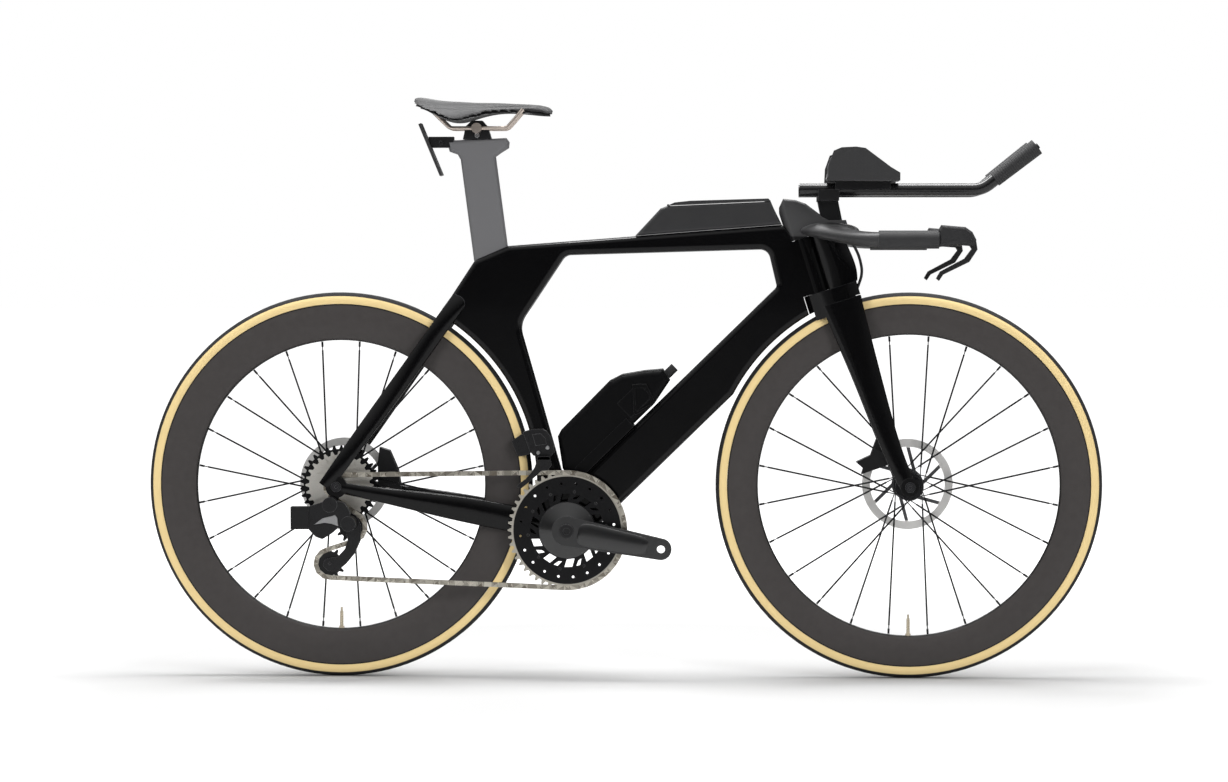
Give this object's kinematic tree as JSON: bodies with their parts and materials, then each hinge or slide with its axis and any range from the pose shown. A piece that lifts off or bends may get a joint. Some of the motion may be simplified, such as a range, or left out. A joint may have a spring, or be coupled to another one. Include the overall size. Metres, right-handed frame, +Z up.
{
  "type": "time trial bike",
  "caption": "Time trial bicycle with deep-section wheels, aero frame, bayonet fork, base bar with levers, extensions with armrests, storage box, down-tube bottle and disc brakes.",
  "frame": {"origin": "on the ground, halfway between the two wheel contact points, in the plane of the wheels", "axes": "+X forward along the wheelbase, +Y to the left of the rider, +Z up; the drivetrain is on -Y"},
  "size_m": [1.6779, 0.415, 1.0214],
  "materials": {
    "gloss_black": "gloss lacquer over carbon laminate",
    "satin_black": "satin lacquer over carbon laminate",
    "post_grey": "satin grey",
    "saddle_cover": "fine-grained synthetic cover over foam",
    "saddle_shell": "moulded",
    "foam": "fabric-faced closed-cell foam",
    "tyre": "black tread, tan side walls",
    "rim": "matte carbon laminate",
    "spokes": "black coated",
    "hub": "black anodised",
    "rotor": "ground",
    "valve": "bright",
    "bearing": "ground",
    "axle": "black anodised",
    "rail": "drawn, pale copper tint",
    "black_alloy": "black anodised",
    "grip": "matte",
    "lever": "black anodised",
    "bottle": "moulded",
    "hose": "smooth",
    "crank": "lacquered carbon",
    "ring": "machined, dark faces",
    "sprocket": "machined",
    "chain": "bright",
    "changer": "black with bright edges",
    "battery": "moulded"
  },
  "bodies": {
    "frame": {"frame": "gloss_black", "frame_bearings": "bearing", "rear_axle": "axle", "rear_triangle": "gloss_black", "storage_box": "satin_black", "bottle_cradle": "satin_black", "rear_caliper": "black_alloy", "derailleur_battery": "battery", "derailleur_body": "changer", "derailleur_cage": "changer", "front_changer": "changer", "front_changer_cage": "changer", "chain": "chain"},
    "seat": {"seat_post": "post_grey", "saddle_clamp": "black_alloy", "accessory_plate": "satin_black"},
    "saddle": {"saddle_cover": "saddle_cover", "saddle_shell": "saddle_shell", "saddle_rails": "rail"},
    "lid": {"storage_lid": "satin_black"},
    "bottle": {"bottle": "bottle"},
    "spout": {"bottle_spout": "grip"},
    "steering": {"fork": "gloss_black", "nose_fairing": "gloss_black", "stem": "satin_black", "base_bar": "satin_black", "bar_grips": "grip", "brake_hoods": "grip", "extension_tubes": "satin_black", "extension_grips": "grip", "riser": "black_alloy", "armrest_cups": "satin_black", "armrest_pads": "foam", "front_brake_hose": "hose", "front_caliper": "black_alloy", "front_axle": "axle"},
    "lever_right": {"brake_lever_right": "lever"},
    "lever_left": {"brake_lever_left": "lever"},
    "button_right": {"shift_button_right": "battery"},
    "button_left": {"shift_button_left": "battery"},
    "front_wheel": {"front_tyre": "tyre", "front_rim": "rim", "front_spokes": "spokes", "front_hub": "hub", "front_rotor": "rotor", "front_valve": "valve"},
    "rear_wheel": {"rear_tyre": "tyre", "rear_rim": "rim", "rear_spokes": "spokes", "rear_hub": "hub", "rear_rotor": "rotor", "rear_valve": "valve"},
    "crankset": {"crank_arm_right": "crank", "crank_arm_left": "crank", "chainrings": "ring", "crank_spindle": "bearing"},
    "cassette": {"cassette": "sprocket"},
    "guide_wheel": {"guide_pulley": "battery"},
    "tension_wheel": {"tension_pulley": "battery"}
  },
  "joints": [
    {"name": "steering_turn", "type": "hinge", "parent": "frame", "child": "steering", "pos_m": [0.45231, 0, 0.32397], "axis": [-0.3007, 0, 0.9537], "range_deg": [-35, 35]},
    {"name": "front_wheel_spin", "type": "hinge", "parent": "steering", "child": "front_wheel", "pos_m": [0.5, 0, 0.339], "axis": [0, 1, 0], "continuous": true},
    {"name": "rear_wheel_spin", "type": "hinge", "parent": "frame", "child": "rear_wheel", "pos_m": [-0.5, 0, 0.339], "axis": [0, 1, 0], "continuous": true},
    {"name": "crank_turn", "type": "hinge", "parent": "frame", "child": "crankset", "pos_m": [-0.098, 0, 0.262], "axis": [0, 1, 0], "continuous": true},
    {"name": "cassette_turn", "type": "hinge", "parent": "frame", "child": "cassette", "pos_m": [-0.5, -0.045, 0.339], "axis": [0, 1, 0], "continuous": true},
    {"name": "guide_pulley_turn", "type": "hinge", "parent": "frame", "child": "guide_wheel", "pos_m": [-0.475, -0.066, 0.268], "axis": [0, 1, 0], "continuous": true},
    {"name": "tension_pulley_turn", "type": "hinge", "parent": "frame", "child": "tension_wheel", "pos_m": [-0.513, -0.066, 0.204], "axis": [0, 1, 0], "continuous": true},
    {"name": "seat_post_slide", "type": "slide", "parent": "frame", "child": "seat", "axis": [-0.1305, 0, 0.9914], "range_m": [-0.03, 0.05]},
    {"name": "saddle_tilt", "type": "hinge", "parent": "seat", "child": "saddle", "pos_m": [-0.2579, 0, 0.96574], "axis": [0, 1, 0], "range_deg": [-8, 8]},
    {"name": "lid_open", "type": "hinge", "parent": "frame", "child": "lid", "pos_m": [0.07768, 0, 0.83056], "axis": [0, -1, 0], "range_deg": [0, 80]},
    {"name": "bottle_lift", "type": "slide", "parent": "frame", "child": "bottle", "axis": [0.7156, 0, 0.6985], "range_m": [0, 0.1]},
    {"name": "spout_pull", "type": "slide", "parent": "bottle", "child": "spout", "axis": [0.7156, 0, 0.6985], "range_m": [0, 0.005]},
    {"name": "lever_right_pull", "type": "hinge", "parent": "steering", "child": "lever_right", "pos_m": [0.59613, -0.192, 0.76574], "axis": [0, 1, 0], "range_deg": [0, 18], "stiffness_Nm_per_rad": 1.5, "springref_deg": -11.46},
    {"name": "lever_left_pull", "type": "hinge", "parent": "steering", "child": "lever_left", "pos_m": [0.59613, 0.192, 0.76574], "axis": [0, 1, 0], "range_deg": [0, 18], "stiffness_Nm_per_rad": 1.5, "springref_deg": -11.46},
    {"name": "button_right_press", "type": "slide", "parent": "steering", "child": "button_right", "axis": [-0.788, 0, -0.6157], "range_m": [0, 0.0025], "stiffness_N_per_m": 300, "springref_m": -0.002},
    {"name": "button_left_press", "type": "slide", "parent": "steering", "child": "button_left", "axis": [-0.788, 0, -0.6157], "range_m": [0, 0.0025], "stiffness_N_per_m": 300, "springref_m": -0.002}
  ],
  "couplings": [
    {"joint": "cassette_turn", "follows": "crank_turn", "ratio": 5},
    {"joint": "guide_pulley_turn", "follows": "crank_turn", "ratio": -4.1667},
    {"joint": "tension_pulley_turn", "follows": "crank_turn", "ratio": 4.1667}
  ]
}
